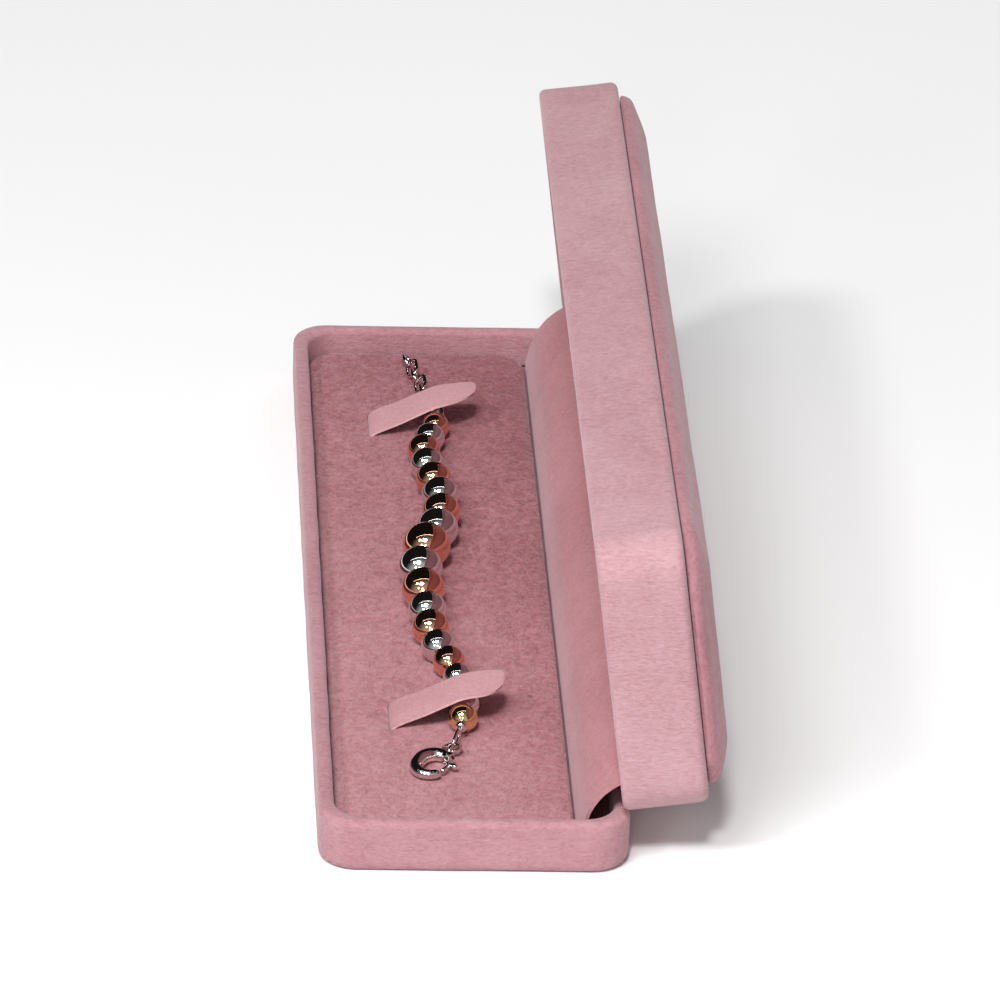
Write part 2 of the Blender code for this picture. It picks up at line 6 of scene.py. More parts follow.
import math

import bmesh
import bpy
from mathutils import Matrix, Vector, noise

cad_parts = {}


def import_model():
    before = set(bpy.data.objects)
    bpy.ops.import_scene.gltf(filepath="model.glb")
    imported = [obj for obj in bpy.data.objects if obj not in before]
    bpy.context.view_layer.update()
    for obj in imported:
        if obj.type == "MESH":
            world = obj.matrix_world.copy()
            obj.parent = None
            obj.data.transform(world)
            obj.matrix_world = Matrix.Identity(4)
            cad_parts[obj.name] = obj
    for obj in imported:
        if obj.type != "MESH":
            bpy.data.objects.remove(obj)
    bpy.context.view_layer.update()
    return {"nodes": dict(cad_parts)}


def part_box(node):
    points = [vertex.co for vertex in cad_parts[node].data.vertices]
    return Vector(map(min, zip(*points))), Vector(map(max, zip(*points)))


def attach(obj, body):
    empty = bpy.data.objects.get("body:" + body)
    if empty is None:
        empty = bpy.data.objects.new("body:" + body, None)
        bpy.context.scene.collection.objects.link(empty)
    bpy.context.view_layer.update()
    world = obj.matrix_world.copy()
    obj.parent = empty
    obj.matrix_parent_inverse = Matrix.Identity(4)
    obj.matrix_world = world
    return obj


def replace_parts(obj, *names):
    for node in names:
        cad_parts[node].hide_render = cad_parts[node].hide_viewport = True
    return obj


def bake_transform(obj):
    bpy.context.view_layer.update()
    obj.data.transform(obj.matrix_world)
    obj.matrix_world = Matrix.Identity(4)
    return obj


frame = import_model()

MM = 0.001
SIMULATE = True

# ---------------------------------------------------------------- dimensions, as in the CAD
X0, X1, Y1 = -28.5, 28.5, 106.0
BASE_H, LID_D, PARTING = 10.6, 16.0, 0.15
CORNER = 7.0
FILL = 2.3  # how far the suede rounds out the inner corners
SKIN, WALL, ROLL, FLANGE = 0.65, 2.9, 1.25, 5.0
UNDER_ROLL, LID_ROLL = 2.0, 1.5
HINGE = Vector((26.9, 0.0, 10.6))
LID_X1, LID_TOP = 26.9, 26.6
LID_OPEN = 82.0
HINGE_YS = (62.0, -62.0)
GAP, LEAF_HALF_W, PIN_HEAD, KNUCKLE_R = 0.3, 8.0, 0.5, 1.05
NOTCH_HALF_L = LEAF_HALF_W + GAP + PIN_HEAD + GAP
NOTCH_REACH = KNUCKLE_R + GAP + 0.1
PANEL_INSET, WADDING_INSET, INNER_INSET = 1.4, 3.0, 3.2
PAD_TOP, PAD_RIGHT = 6.1, 18.6
STRAP_ROOT_X, STRAP_T, STRAP_W = -13.9, 0.45, 10.0
# name, place along Y, and how far its near tip corner is rounded along and across
STRAPS = (("strap_far", 67.3, 8.5, 7.0), ("strap_near", -57.2, 5.0, 6.4))
FLAP_HALF_L, FLAP_T = 101.4, 0.8
BEAD_DIAMETERS = (
    5.5, 6.0, 6.5, 6.8, 7.1, 7.4, 7.6, 8.2, 9.3, 8.6, 8.3, 7.3, 7.2, 6.5, 6.2, 5.6, 5.3, 5.2, 5.5,
)
OPEN = (
    Matrix.Translation(HINGE)
    @ Matrix.Rotation(math.radians(LID_OPEN), 4, "Y")
    @ Matrix.Translation(-HINGE)
)


# ---------------------------------------------------------------- camera
def make_camera():
    azimuth, elevation, roll = (math.radians(a) for a in (3.64, 26.4, 2.37))
    distance = 1.6044
    flat = math.cos(elevation)
    ahead = Vector((math.sin(azimuth) * flat, math.cos(azimuth) * flat, -math.sin(elevation)))
    level = Vector((math.cos(azimuth), -math.sin(azimuth), 0.0))
    upright = level.cross(ahead)
    right = level * math.cos(roll) + upright * math.sin(roll)
    up = right.cross(ahead)
    data = bpy.data.cameras.new("camera")
    data.lens, data.sensor_width = 300.26, 36.0
    data.clip_end = 50.0
    camera = bpy.data.objects.new("camera", data)
    place = Vector((0.0086, 0.0, 0.0234)) - ahead * distance
    camera.matrix_world = Matrix(
        ((right.x, up.x, -ahead.x, place.x), (right.y, up.y, -ahead.y, place.y),
         (right.z, up.z, -ahead.z, place.z), (0, 0, 0, 1))
    )
    bpy.context.scene.collection.objects.link(camera)
    bpy.context.scene.camera = camera


make_camera()


# ---------------------------------------------------------------- materials
class Nodes:
    """A short way to write a material's node tree."""

    def __init__(self, name):
        self.material = bpy.data.materials.new(name)
        self.material.use_nodes = True
        self.tree = self.material.node_tree
        self.shader = self.tree.nodes["Principled BSDF"]
        self.coordinates = self.tree.nodes.new("ShaderNodeTexCoord").outputs["Object"]

    def link(self, source, socket):
        if isinstance(source, (int, float)):
            socket.default_value = source
        else:
            self.tree.links.new(source, socket)

    def stretched(self, scale, turn=(0.0, 0.0, 0.0)):
        node = self.tree.nodes.new("ShaderNodeMapping")
        self.link(self.coordinates, node.inputs["Vector"])
        node.inputs["Scale"].default_value = scale
        node.inputs["Rotation"].default_value = [math.radians(a) for a in turn]
        return node.outputs["Vector"]

    def along(self, slope):
        """Grows along X and Y by slope per metre, about nought in the middle."""
        spot = self.tree.nodes.new("ShaderNodeVectorMath")
        spot.operation = "DOT_PRODUCT"
        self.link(self.coordinates, spot.inputs[0])
        spot.inputs[1].default_value = (slope[0], slope[1], 0.0)
        return spot.outputs["Value"]

    def noise(self, scale, detail=2.0, roughness=0.5, distortion=0.0, vector=None, kind="FBM"):
        node = self.tree.nodes.new("ShaderNodeTexNoise")
        node.noise_type = kind
        self.link(vector or self.coordinates, node.inputs["Vector"])
        node.inputs["Scale"].default_value = scale
        node.inputs["Detail"].default_value = detail
        node.inputs["Roughness"].default_value = roughness
        node.inputs["Distortion"].default_value = distortion
        return node.outputs["Fac"]

    def ramp(self, source, low, high, out_low=0.0, out_high=1.0):
        node = self.tree.nodes.new("ShaderNodeMapRange")
        node.interpolation_type = "SMOOTHSTEP"
        self.link(source, node.inputs["Value"])
        sockets = ("From Min", "From Max", "To Min", "To Max")
        for socket, value in zip(sockets, (low, high, out_low, out_high)):
            node.inputs[socket].default_value = value
        return node.outputs["Result"]

    def sum(self, *terms):
        """Adds (source, weight) pairs."""
        total = None
        for source, weight in terms:
            scaled = self.maths("MULTIPLY", source, weight)
            total = scaled if total is None else self.maths("ADD", total, scaled)
        return total

    def maths(self, operation, a, b):
        node = self.tree.nodes.new("ShaderNodeMath")
        node.operation = operation
        self.link(a, node.inputs[0])
        self.link(b, node.inputs[1])
        return node.outputs[0]

    def colours(self, source, stops):
        node = self.tree.nodes.new("ShaderNodeValToRGB")
        ramp = node.color_ramp
        while len(ramp.elements) < len(stops):
            ramp.elements.new(0.5)
        for element, (place, colour) in zip(ramp.elements, stops):
            element.position = place
            element.color = (*colour, 1.0)
        self.link(source, node.inputs["Fac"])
        return node.outputs["Color"]

    def bump(self, source, distance, strength=1.0, before=None):
        node = self.tree.nodes.new("ShaderNodeBump")
        node.inputs["Distance"].default_value = distance
        node.inputs["Strength"].default_value = strength
        self.link(source, node.inputs["Height"])
        if before is not None:
            self.link(before, node.inputs["Normal"])
        return node.outputs["Normal"]

    def set(self, **values):
        for name, value in values.items():
            socket = self.shader.inputs[name.replace("_", " ")]
            if isinstance(value, bpy.types.NodeSocket):
                self.link(value, socket)
            else:
                socket.default_value = value


def suede(name, colour, crush, strokes, fine, relief=1.0, contrast=1.0, painted_shade_slope=(0, 0)):
    """Brushed microfibre: nap lying in strokes, broad shading where it was stroked, small crushed creases.

    The last argument paints shade: it shifts the colour darker or lighter along X and Y by that much per
    metre, darker where less light falls.
    """
    n = Nodes(name)
    way = n.stretched(strokes)
    nap = n.noise(fine, 3.0, 0.6, 0.3, way)
    strands = n.noise(fine * 2.6, 1.0, 0.5, 0.0, way)
    curls = n.noise(fine * 0.5, 3.0, 0.65, 0.6, way)
    patches = n.noise(140.0, 3.0, 0.55, 0.5)
    broad = n.noise(26.0, 2.0, 0.5, 0.4)
    folds = n.noise(fine * 0.6, 2.0, 0.5, 0.9, way)
    crease = n.ramp(n.maths("ABSOLUTE", n.maths("SUBTRACT", folds, 0.5), 0.0), 0.0, 0.11)
    shade = n.sum(
        (nap, 0.34), (strands, 0.12), (curls, 0.32), (patches, 0.20), (broad, 0.26), (crease, 0.13 * crush),
        # painted shade: a slope along X and Y, darker where less light reaches
        (n.along(painted_shade_slope), 1.0),
    )
    level = 0.62 + 0.13 * crush * 0.66

    def tone(red, green, blue):
        return (colour[0] * red, colour[1] * green, colour[2] * blue)

    n.set(
        Base_Color=n.colours(
            shade,
            [
                (level - 0.40 / contrast, tone(0.62, 0.46, 0.49)),
                (level - 0.20 / contrast, tone(0.78, 0.66, 0.68)),
                (level, colour),
                (level + 0.19 / contrast, tone(1.16, 1.30, 1.28)),
                (level + 0.38 / contrast, tone(1.30, 1.58, 1.54)),
            ],
        ),
        Roughness=n.ramp(nap, 0.3, 0.7, 0.97, 0.86),
        Sheen_Weight=0.3,
        Sheen_Roughness=0.45,
        Sheen_Tint=(1.0, 0.86, 0.90, 1.0),
        Specular_IOR_Level=0.15,
        Normal=n.bump(
            n.sum((nap, 0.6), (strands, 0.25), (curls, 0.8 * crush)), 0.00024 * relief, 1.0,
            n.bump(n.sum((crease, 0.5 * crush), (patches, 1.2)), 0.00016 * relief, 1.0),
        ),
    )
    return n.material


def polished(name, colour, roughness=0.035):
    """Polished metal with faint handling marks."""
    n = Nodes(name)
    haze = n.noise(260.0, 3.0, 0.6, 0.5)
    marks = n.noise(900.0, 2.0, 0.5, 1.5, n.stretched((1.0, 0.25, 1.0), (20.0, 35.0, 10.0)))
    shade = n.sum((haze, 0.7), (marks, 0.3))
    darker = tuple(c * 0.93 for c in colour)
    n.set(
        Base_Color=n.colours(shade, [(0.35, darker), (0.62, colour)]),
        Metallic=1.0,
        Roughness=n.ramp(shade, 0.4, 0.68, roughness, roughness + 0.05),
        Normal=n.bump(haze, 0.00001, 0.35),
    )
    return n.material


def plain(name, colour, roughness, metallic=0.0, scale=300.0, stretch=(1.0, 1.0, 1.0), depth=0.00005):
    """A grained finish for what is hidden: board, wadding, moulded shell, steel strip."""
    n = Nodes(name)
    grain = n.noise(scale, 4.0, 0.6, 0.2, n.stretched(stretch))
    cloud = n.noise(scale * 0.12, 2.0)
    shade = n.sum((grain, 0.7), (cloud, 0.3))
    darker, paler = (tuple(min(1.0, c * share) for c in colour) for share in (0.82, 1.08))
    n.set(
        Base_Color=n.colours(shade, [(0.35, darker), (0.65, paler)]),
        Roughness=n.ramp(grain, 0.3, 0.7, max(0.05, roughness - 0.08), min(1.0, roughness + 0.06)),
        Metallic=metallic,
        Normal=n.bump(grain, depth, 0.6),
    )
    return n.material


LOOK = {
    "base": suede("suede_base", (0.405, 0.207, 0.232), 0.30, (0.7, 1.0, 1.5), 1500.0),
    # the pad gets painted shade, darker towards the hinge side (+X) and the far end (+Y)
    "pad": suede("suede_pad", (0.355, 0.144, 0.164), 0.8, (1.0, 0.8, 1.0), 1000.0, 1.7, 1.6, (-4.0, -1.3)),
    "lid": suede("suede_lid", (0.437, 0.246, 0.270), 0.25, (0.6, 1.0, 1.8), 1700.0, 0.9),
    "panel": suede("suede_panel", (0.380, 0.176, 0.205), 0.35, (1.0, 0.8, 1.0), 1500.0),
    "strap": suede("suede_strap", (0.500, 0.262, 0.285), 0.05, (1.0, 1.0, 1.0), 2600.0, 0.4),
    "cut_edge": suede("suede_cut_edge", (0.66, 0.41, 0.43), 0.05, (1.0, 1.0, 1.0), 2600.0, 0.4),
    "flap": suede("suede_flap", (0.430, 0.190, 0.213), 0.20, (1.0, 1.0, 1.0), 1700.0, 0.8),
    "silver": polished("polished_silver", (0.84, 0.86, 0.84)),
    "rose_gold": polished("polished_rose_gold", (0.90, 0.50, 0.33)),
    "gold": polished("polished_gold", (0.92, 0.66, 0.34)),
    "trim": polished("polished_trim", (0.84, 0.80, 0.78), 0.08),
    "shell": plain("moulded_shell", (0.42, 0.19, 0.22), 0.6),
    "board": plain("grey_board", (0.45, 0.36, 0.26), 0.9, scale=1200.0, stretch=(0.4, 1.0, 1.0)),
    "foam": plain("wadding", (0.82, 0.80, 0.72), 0.95, scale=1500.0, depth=0.0003),
    "steel": plain("steel_strip", (0.55, 0.55, 0.56), 0.34, 1.0, 900.0, (1.0, 0.06, 1.0)),
}


# ---------------------------------------------------------------- meshes
def finish_mesh(bm, name, look, open_lid=False, sharp=40.0):
    """Makes an object from a bmesh in millimetres. A lid piece is turned open first."""
    if open_lid:
        bmesh.ops.transform(bm, matrix=OPEN, verts=bm.verts)
    bmesh.ops.scale(bm, verts=bm.verts, vec=(MM, MM, MM))
    bmesh.ops.recalc_face_normals(bm, faces=bm.faces)
    data = bpy.data.meshes.new(name)
    bm.to_mesh(data)
    bm.free()
    data.shade_smooth()
    data.set_sharp_from_angle(angle=math.radians(sharp))
    data.materials.append(LOOK[look])
    obj = bpy.data.objects.new(name, data)
    bpy.context.scene.collection.objects.link(obj)
    return obj


def subtract(obj, cutter):
    """Takes the cutter's shape out of a piece, and drops the cutter."""
    step = obj.modifiers.new("notch", "BOOLEAN")
    step.operation, step.solver, step.object = "DIFFERENCE", "EXACT", cutter
    bpy.context.view_layer.update()
    graph = bpy.context.evaluated_depsgraph_get()
    made = bpy.data.meshes.new_from_object(obj.evaluated_get(graph))
    obj.modifiers.clear()
    obj.data = made
    made.shade_smooth()
    bpy.data.objects.remove(cutter)


def cut_away(obj, boxes, open_lid=False):
    """Takes boxes of (low, high) corners out of a piece."""
    for low, high in boxes:
        bm = bmesh.new()
        bmesh.ops.create_cube(bm, size=1.0)
        low, high = Vector(low), Vector(high)
        bmesh.ops.scale(bm, verts=bm.verts, vec=high - low)
        bmesh.ops.translate(bm, verts=bm.verts, vec=(high + low) / 2)
        subtract(obj, finish_mesh(bm, "cutter", "board", open_lid))
    obj.data.set_sharp_from_angle(angle=math.radians(40.0))


def outline(x0, x1, y0, y1, radius, corner_steps=10, step=2.5):
    """Points once round a rounded rectangle, anticlockwise.

    Each has its outward direction, and the way it moves when the corner's radius grows.
    """
    points = []
    corners = (
        (x1 - radius, y1 - radius, 0), (x0 + radius, y1 - radius, 90),
        (x0 + radius, y0 + radius, 180), (x1 - radius, y0 + radius, 270),
    )
    for number, (cx, cy, start) in enumerate(corners):
        for k in range(corner_steps + 1):
            turn = math.radians(start + 90 * k / corner_steps)
            out = Vector((math.cos(turn), math.sin(turn), 0.0))
            square = Vector((math.copysign(1, cx), math.copysign(1, cy), 0.0))
            points.append((Vector((cx, cy, 0.0)) + out * radius, out, out - square))
        end, out, _ = points[-1]
        nx, ny, ahead = corners[(number + 1) % 4]
        turn = math.radians(ahead)
        to = Vector((nx, ny, 0.0)) + Vector((math.cos(turn), math.sin(turn), 0.0)) * radius
        count = max(1, round((to - end).length / step))
        points += [(end.lerp(to, k / count), out, Vector()) for k in range(1, count)]
    return points


def arc(cx, cz, radius, start, end, steps):
    turns = [math.radians(start + (end - start) * k / steps) for k in range(steps + 1)]
    return [(cx + radius * math.cos(t), cz + radius * math.sin(t)) for t in turns]


def line(a, b, count):
    """Points strictly between a and b."""
    return [(a[0] + (b[0] - a[0]) * k / count, a[1] + (b[1] - a[1]) * k / count) for k in range(1, count)]


def skin_profile(height, turn_in, under_roll, leg_end):
    """Suede over one rim: turned-in edge, outer side, rolled rim and the leg down inside."""
    inner = WALL - SKIN
    side = ((0.0, under_roll), (0.0, height - ROLL))
    leg = ((WALL, height - ROLL), (WALL, leg_end))
    return (
        [(turn_in, 0.0)]
        + line((turn_in, 0.0), (under_roll, 0.0), 3)
        + arc(under_roll, under_roll, under_roll, 270, 180, 8)
        + line(*side, 6)
        + arc(ROLL, height - ROLL, ROLL, 180, 90, 7)
        + arc(WALL - ROLL, height - ROLL, ROLL, 90, 0, 7)
        + line(*leg, 3)
        + [(WALL, leg_end), (inner, leg_end)]
        + arc(WALL - ROLL, height - ROLL, ROLL - SKIN, 0, 90, 3)
        + arc(ROLL, height - ROLL, ROLL - SKIN, 90, 180, 3)
        + line((SKIN, height - ROLL), (SKIN, under_roll), 3)
        + arc(under_roll, under_roll, under_roll - SKIN, 180, 270, 4)
        + [(turn_in, SKIN)]
    )


def waver(point, size, depth):
    """A small smooth unevenness, the same each run."""
    return noise.noise(Vector(point) / size) * depth


def swept(path, profile, softness=0.0):
    """A closed profile of (in from the path, up) carried round a closed path, as one bmesh of quads.

    Its inner side has rounder corners than its outer side.
    """
    bm = bmesh.new()
    rings = []
    for point, out, rounder in path:
        ring = []
        for inward, up in profile:
            spot = point - out * inward + Vector((0, 0, up))
            if up > SKIN and inward > ROLL:
                spot += rounder * FILL * min(1.0, (inward - ROLL) / (WALL - ROLL))
            spot += out * waver(spot, 9.0, softness)
            ring.append(bm.verts.new(spot))
        rings.append(ring)
    count = len(profile)
    for a, b in zip(rings, rings[1:] + rings[:1]):
        for k in range(count):
            bm.faces.new((a[k], b[k], b[(k + 1) % count], a[(k + 1) % count]))
    return bm


def inside(x, y, half_x, half_y, radius):
    """How far a point is inside a rounded rectangle's edge."""
    qx, qy = abs(x) - half_x + radius, abs(y) - half_y + radius
    outside = math.hypot(max(qx, 0.0), max(qy, 0.0)) + min(max(qx, qy), 0.0)
    return radius - outside


def spread_out(half, roll, step):
    """Places from -half to half, closer together over the roll at each end."""
    edge = [roll * (1 - math.cos(math.radians(a))) for a in (0, 14, 28, 42, 56, 70, 80, 90)]
    edge += [roll * 1.35, roll * 1.8]
    count = max(2, round(2 * (half - edge[-1]) / step))
    start = -half + edge[-1]
    middle = [start + 2 * (half - edge[-1]) * k / count for k in range(1, count)]
    left = [-half + e for e in edge]
    return left + middle + [-x for x in reversed(left)]


def pillow(low, high, radius, roll, step=1.5, crown=0.0, reach=9.0, under=0.0, dents=()):
    """A padded slab on a fine grid: rolled top edge, a crown that rises over reach from the edges, and dents.

    dents are (x, half width, y0, y1, depth) hollows that run along Y.
    """
    low, high = Vector(low), Vector(high)
    centre, half = (low + high) / 2, (high - low) / 2
    xs, ys = spread_out(half.x, roll, step), spread_out(half.y, roll, step)
    bm = bmesh.new()

    def surface(top):
        rows = []
        for y in ys:
            over = max(0.0, abs(y) - (half.y - radius))
            narrow = radius - math.sqrt(max(0.0, radius * radius - over * over))
            row = []
            for x in xs:
                px = x * (half.x - narrow) / half.x
                depth = max(0.0, inside(px, y, half.x, half.y, radius))
                bend = roll if top else under
                drop = bend - math.sqrt(max(0.0, bend * bend - max(0.0, bend - depth) ** 2)) if bend else 0.0
                if not top:
                    row.append(bm.verts.new((centre.x + px, centre.y + y, low.z + drop)))
                    continue
                z = high.z - drop
                z -= crown * (1.0 - min(1.0, depth / reach)) ** 2
                z += waver((px, y, 5.0), 14.0, 0.10) + waver((px, y, 9.0), 3.2, 0.035)
                for dx, wide, y0, y1, deep in dents:
                    along = max(y0 - (centre.y + y), (centre.y + y) - y1, 0.0)
                    away = math.hypot((centre.x + px - dx) / wide, along / wide)
                    z -= deep * math.exp(-away * away)
                row.append(bm.verts.new((centre.x + px, centre.y + y, z)))
            rows.append(row)
        return rows

    upper, lower = surface(True), surface(False)
    for rows, turn in ((upper, False), (lower, True)):
        for a, b in zip(rows, rows[1:]):
            for k in range(len(a) - 1):
                quad = (a[k], a[k + 1], b[k + 1], b[k])
                bm.faces.new(reversed(quad) if turn else quad)

    def rim(rows):
        return rows[0] + [r[-1] for r in rows[1:-1]] + rows[-1][::-1] + [r[0] for r in rows[-2:0:-1]]

    above, below = rim(upper), rim(lower)
    for k in range(len(above)):
        j = (k + 1) % len(above)
        bm.faces.new((above[j], above[k], below[k], below[j]))
    return bm


def inflate(obj, pressure, cap, hold):
    """Swells a padded piece a little by cloth simulation. hold(co) is True for points that stay put."""
    if not SIMULATE:
        return
    scale = 5.0
    rest = [v.co.copy() for v in obj.data.vertices]
    for v in obj.data.vertices:
        v.co *= scale
    group = obj.vertex_groups.new(name="held")
    group.add([v.index for v in obj.data.vertices if hold(rest[v.index] / MM)], 1.0, "REPLACE")
    cloth = obj.modifiers.new("cloth", "CLOTH")
    cloth.settings.quality = 3
    cloth.settings.mass = 0.3
    cloth.settings.tension_stiffness = cloth.settings.compression_stiffness = 25.0
    cloth.settings.bending_stiffness = 2.0
    cloth.settings.use_pressure = True
    cloth.settings.uniform_pressure_force = pressure
    cloth.settings.vertex_group_mass = "held"
    cloth.settings.effector_weights.gravity = 0.0
    cloth.collision_settings.use_self_collision = False
    scene = bpy.context.scene
    for number in range(1, 13):
        scene.frame_set(number)
    graph = bpy.context.evaluated_depsgraph_get()
    moved = [v.co / scale for v in obj.evaluated_get(graph).data.vertices]
    obj.modifiers.clear()
    obj.vertex_groups.clear()
    outward = [v.normal.copy() for v in obj.data.vertices]
    for v, before, after, out in zip(obj.data.vertices, rest, moved, outward):
        step = after - before
        step -= out * min(0.0, step.dot(out))
        if step.length > cap * MM:
            step *= cap * MM / step.length
        v.co = before + step
    scene.frame_set(1)
    obj.data.update()


def swing_open(obj):
    """Turns a piece that was drawn shut up to where the open lid has it."""
    obj.data.transform(Matrix.Scale(MM, 4) @ OPEN @ Matrix.Scale(1 / MM, 4))


# ---------------------------------------------------------------- base and lid coverings
def notches(back_x, low, high):
    """Boxes round the hinge knuckles, through a back wall whose outside is at back_x."""
    x_in, x_out = back_x - WALL - 0.5, back_x + 2
    return [((x_in, y - NOTCH_HALF_L, low), (x_out, y + NOTCH_HALF_L, high)) for y in HINGE_YS]


base_skin = finish_mesh(
    swept(outline(X0, X1, -Y1, Y1, CORNER), skin_profile(BASE_H - PARTING, FLANGE, UNDER_ROLL, 3.0), 0.10),
    "base_covering", "base",
)
cut_away(base_skin, notches(X1, BASE_H - NOTCH_REACH, BASE_H + 2))
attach(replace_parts(base_skin, "base_wrap"), "base")

lid_skin = finish_mesh(
    swept(
        outline(X0, LID_X1, -Y1, Y1, CORNER),
        [(x, LID_TOP - z) for x, z in skin_profile(LID_D - PARTING, FLANGE, LID_ROLL, 3.9)],
        0.10,
    ),
    "lid_covering", "lid", open_lid=True,
)
cut_away(lid_skin, notches(LID_X1, BASE_H - 2, BASE_H + NOTCH_REACH), open_lid=True)
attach(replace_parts(lid_skin, "lid_wrap"), "lid")

# ---------------------------------------------------------------- padded parts
panel = finish_mesh(
    pillow(
        (X0 + PANEL_INSET, -Y1 + PANEL_INSET, LID_TOP + PARTING),
        (LID_X1 - PANEL_INSET, Y1 - PANEL_INSET, LID_TOP + 4.0),
        10.5, 1.5, crown=1.9, under=0.5,
    ),
    "lid_padded_panel", "panel",
)
inflate(panel, 4.0, 0.5, lambda p: p.z < LID_TOP + 0.6)
swing_open(panel)
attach(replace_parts(panel, "lid_panel_cover"), "lid")

wadding = finish_mesh(
    pillow(
        (X0 + WADDING_INSET, -Y1 + WADDING_INSET, LID_TOP + 0.5),
        (LID_X1 - WADDING_INSET, Y1 - WADDING_INSET, LID_TOP + 1.9),
        8.0, 0.6, 4.0,
    ),
    "lid_panel_wadding", "foam",
)
swing_open(wadding)
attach(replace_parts(wadding, "lid_panel_foam"), "lid")

# The lining faces down, so it is drawn face up and below nought, and mirrored.
cushion = finish_mesh(
    pillow(
        (X0 + INNER_INSET, -Y1 + INNER_INSET, -22.65), (LID_X1 - INNER_INSET, Y1 - INNER_INSET, -19.75),
        6.0, 1.1, crown=0.8,
    ),
    "lid_inner_pad", "panel",
)
inflate(cushion, 3.0, 0.5, lambda p: p.z < -22.0)
cushion.data.transform(Matrix.Scale(-1, 4, (0, 0, 1)))
swing_open(cushion)
cushion.data.flip_normals()
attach(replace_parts(cushion, "lid_cushion"), "lid")

half_strap = STRAP_W / 2
dents = [(STRAP_ROOT_X - 0.9, 1.2, y - half_strap + 1.5, y + half_strap - 1.5, 0.6) for _, y, _, _ in STRAPS]
pad = finish_mesh(
    pillow(
        (X0 + INNER_INSET, -Y1 + INNER_INSET, 2.65), (PAD_RIGHT, Y1 - INNER_INSET, PAD_TOP - 0.05),
        6.0, 1.3, 1.0, crown=0.35, reach=5.0, dents=dents,
    ),
    "display_pad", "pad",
)
inflate(pad, 2.0, 0.25, lambda p: p.z < 4.2)
cut_away(
    pad,
    [
        ((STRAP_ROOT_X - 0.30, y - half_strap - 0.05, 3.75), (STRAP_ROOT_X + 0.5, y + half_strap + 0.05, 9.0))
        for _, y, _, _ in STRAPS
    ],
)
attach(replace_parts(pad, "pad_cover"), "base")


# ---------------------------------------------------------------- sheets: straps and hinge flap
def through(points, steps):
    """A smooth line through points, as a Catmull-Rom curve."""
    points = [Vector(p) for p in points]
    padded = [2 * points[0] - points[1], *points, 2 * points[-1] - points[-2]]
    found = []
    for k in range(1, len(padded) - 2):
        a, b, c, d = padded[k - 1:k + 3]
        for s in range(steps):
            t = s / steps
            square, cube = 2 * a - 5 * b + 4 * c - d, 3 * b - a - 3 * c + d
            found.append(0.5 * (2 * b + (c - a) * t + square * t * t + cube * t ** 3))
    return found + [points[-1]]


def even(points, count):
    """The same line with its points evenly spaced, and its length."""
    along = [0.0]
    for a, b in zip(points, points[1:]):
        along.append(along[-1] + (b - a).length)
    made, k = [], 0
    for number in range(count + 1):
        want = along[-1] * number / count
        while k < len(points) - 2 and along[k + 1] < want:
            k += 1
        share = (want - along[k]) / max(1e-9, along[k + 1] - along[k])
        made.append(points[k].lerp(points[k + 1], share))
    return made, along[-1]


def weave(bm, rows):
    """Quads between rows of points."""
    for a, b in zip(rows, rows[1:]):
        for k in range(len(a) - 1):
            bm.faces.new((a[k], a[k + 1], b[k + 1], b[k]))


def thicken(bm, thickness):
    """Gives a sheet its thickness, equally to both sides."""
    bmesh.ops.recalc_face_normals(bm, faces=bm.faces)
    bm.normal_update()
    for v in bm.verts:
        v.co -= v.normal * thickness / 2
    bmesh.ops.solidify(bm, geom=bm.faces[:], thickness=-thickness)


strap_line = [
    (STRAP_ROOT_X, 3.9), (STRAP_ROOT_X, 5.2), (-13.5, 6.35), (-12.0, 7.35), (-8.0, 9.1),
    (-4.2, 11.0), (-0.6, 12.7), (3.6, 13.45), (7.2, 13.7),
]


def strap(name, y, along, across):
    """A tab with its near tip corner rounded over along and across, and its far one nearly square."""
    spine, length = even(through([(x, 0.0, z) for x, z in strap_line], 8), 56)
    bm = bmesh.new()
    rows = []
    for number, spot in enumerate(spine):
        left = length * (1 - number / (len(spine) - 1))
        near = across * (1 - math.sqrt(1 - max(0.0, 1 - left / along) ** 2))
        far = 0.9 * (1 - math.sqrt(1 - max(0.0, 1 - left / 0.9) ** 2))
        taper = 0.5 * number / len(spine)
        y0, y1 = y - half_strap + near + taper, y + half_strap - far
        row = []
        for k in range(15):
            share = k / 14
            side = 2 * share - 1
            lift = 0.16 * (1 - side * side) + waver((spot.x, side * 5, y), 7.0, 0.14)
            row.append(bm.verts.new((spot.x, y0 + (y1 - y0) * share, spot.z + lift * min(1.0, number / 12))))
        rows.append(row)
    weave(bm, rows)
    thicken(bm, STRAP_T)
    tab = finish_mesh(bm, f"{name}_tab", "strap", sharp=50.0)
    tab.data.materials.append(LOOK["cut_edge"])
    for face in tab.data.polygons:
        if abs(face.normal.y) > 0.7 or (face.normal.x > 0.9 and face.center.x > 0.005):
            face.material_index = 1
    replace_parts(tab, name)
    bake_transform(tab)


for strap_facts in STRAPS:
    strap(*strap_facts)

# the flap's line on the base's side, from the hinge
flap_base = [(-7.5, -7.1), (-7.3, -5.0), (-6.2, -0.6), (-4.7, 2.3)]
half_turn = math.radians(180 - LID_OPEN / 2)


def mirrored(point):
    """The point's mirror image on the lid's side."""
    size, angle = math.hypot(*point), math.atan2(point[1], point[0])
    return (size * math.cos(2 * half_turn - angle), size * math.sin(2 * half_turn - angle))


